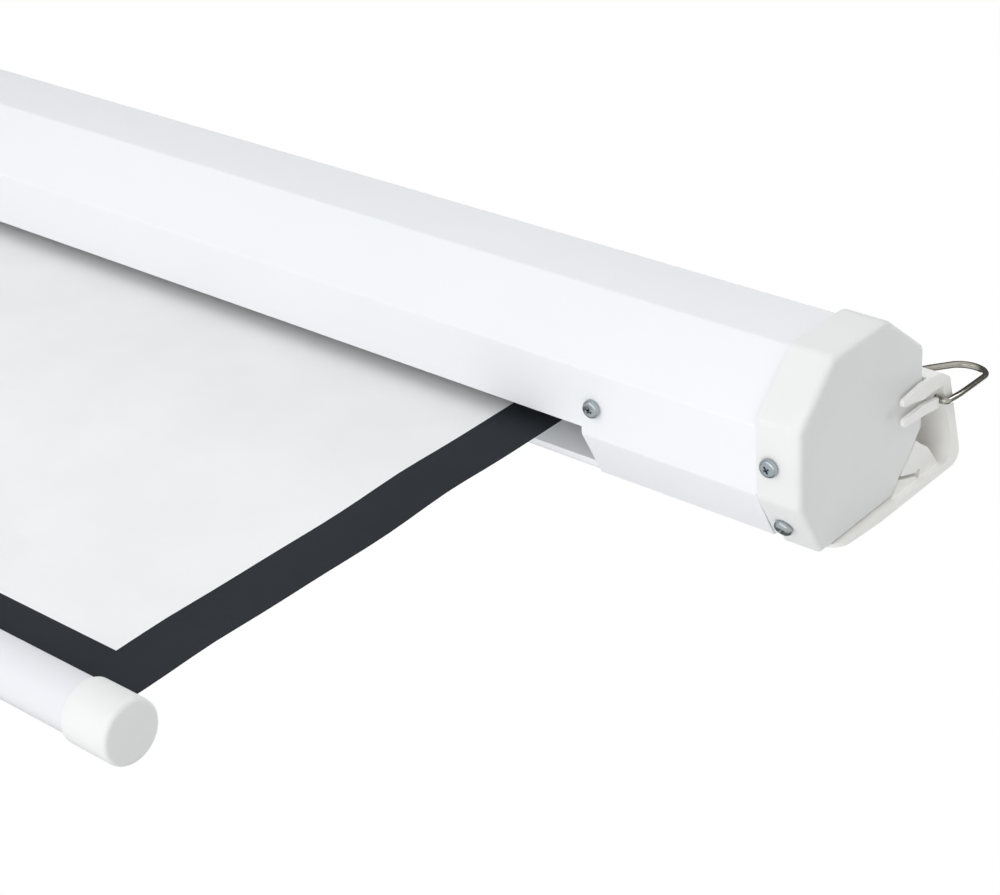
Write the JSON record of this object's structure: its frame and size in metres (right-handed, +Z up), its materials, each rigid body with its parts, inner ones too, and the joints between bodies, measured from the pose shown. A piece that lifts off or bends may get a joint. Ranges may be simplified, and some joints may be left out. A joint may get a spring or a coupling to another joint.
{
  "type": "pull down projector screen",
  "caption": "Manual pull down projector screen: white octagonal wall case with plastic end caps and hanging loops, its black bordered sheet drawn a little way out above a round bottom bar.",
  "frame": {"origin": "half way between the two hanger plates, on the wall plane and at the height of the tops of their screw slots", "axes": "+X along the case to the viewer's right, +Y back to the wall, +Z up; the picture faces -Y"},
  "size_m": [1.8678, 0.075, 0.3776],
  "materials": {
    "white_painted_steel": "semi-gloss",
    "white_plastic": "satin",
    "grey_plastic": "satin",
    "nylon": "satin",
    "zinc_plated_steel": "satin",
    "steel_wire": "polished",
    "white_sheet": "matte"
  },
  "bodies": {
    "housing": {"cap_screw_left_rear": "zinc_plated_steel", "cap_screw_left_under": "zinc_plated_steel", "cap_screw_right_rear": "zinc_plated_steel", "cap_screw_right_under": "zinc_plated_steel", "case": "white_painted_steel", "end_cap_left": "white_plastic", "end_cap_right": "white_plastic", "hanger_bracket_left": "white_plastic", "hanger_bracket_right": "white_plastic", "idler_bushing": "nylon", "ratchet_hub": "zinc_plated_steel", "roller_bracket_left": "grey_plastic", "roller_bracket_right": "grey_plastic", "roller_bracket_screw_left_above": "zinc_plated_steel", "roller_bracket_screw_left_below": "zinc_plated_steel", "roller_bracket_screw_right_above": "zinc_plated_steel", "roller_bracket_screw_right_below": "zinc_plated_steel", "spring_collar": "nylon", "spring_shaft": "steel_wire", "torsion_spring": "steel_wire"},
    "bar": {"bar_cap_left": "white_plastic", "bar_cap_right": "white_plastic", "bottom_bar": "white_painted_steel", "handle_screw_left": "zinc_plated_steel", "handle_screw_right": "zinc_plated_steel", "hem_rod": "nylon", "pull_handle": "white_plastic", "screen_sheet": "white_sheet"},
    "roller": {"fabric_roll": "white_sheet", "idler_pin": "steel_wire", "roller_plug_left": "grey_plastic", "roller_plug_right": "grey_plastic", "roller_tube": "zinc_plated_steel", "spring_anchor": "grey_plastic"},
    "pawl_rear": {"pawl_rear": "zinc_plated_steel"},
    "pawl_front": {"pawl_front": "zinc_plated_steel"},
    "loop_right": {"hanging_loop_right": "steel_wire"},
    "loop_left": {"hanging_loop_left": "steel_wire"}
  },
  "joints": [
    {"name": "bar_slide", "type": "slide", "parent": "housing", "child": "bar", "axis": [0, 0, -1], "range_m": [-0.194, 0.93], "deforming": ["screen_sheet"]},
    {"name": "roller_turn", "type": "hinge", "parent": "housing", "child": "roller", "pos_m": [0, -0.043, -0.0348], "axis": [1, 0, 0], "range_deg": [-2700, 600]},
    {"name": "pawl_rear_swing", "type": "hinge", "parent": "roller", "child": "pawl_rear", "pos_m": [0.8332, -0.029, -0.0348], "axis": [1, 0, 0], "range_deg": [-12, 2.5]},
    {"name": "pawl_front_swing", "type": "hinge", "parent": "roller", "child": "pawl_front", "pos_m": [0.8332, -0.057, -0.0348], "axis": [1, 0, 0], "range_deg": [-12, 2.5]},
    {"name": "loop_right_swing", "type": "hinge", "parent": "housing", "child": "loop_right", "pos_m": [0.92125, -0.0303, 0.0123], "axis": [1, 0, 0], "range_deg": [-30, 95]},
    {"name": "loop_left_swing", "type": "hinge", "parent": "housing", "child": "loop_left", "pos_m": [-0.92125, -0.0303, 0.0123], "axis": [1, 0, 0], "range_deg": [-30, 95]}
  ],
  "couplings": [
    {"joint": "roller_turn", "follows": "bar_slide", "rad_per_m": -50}
  ]
}
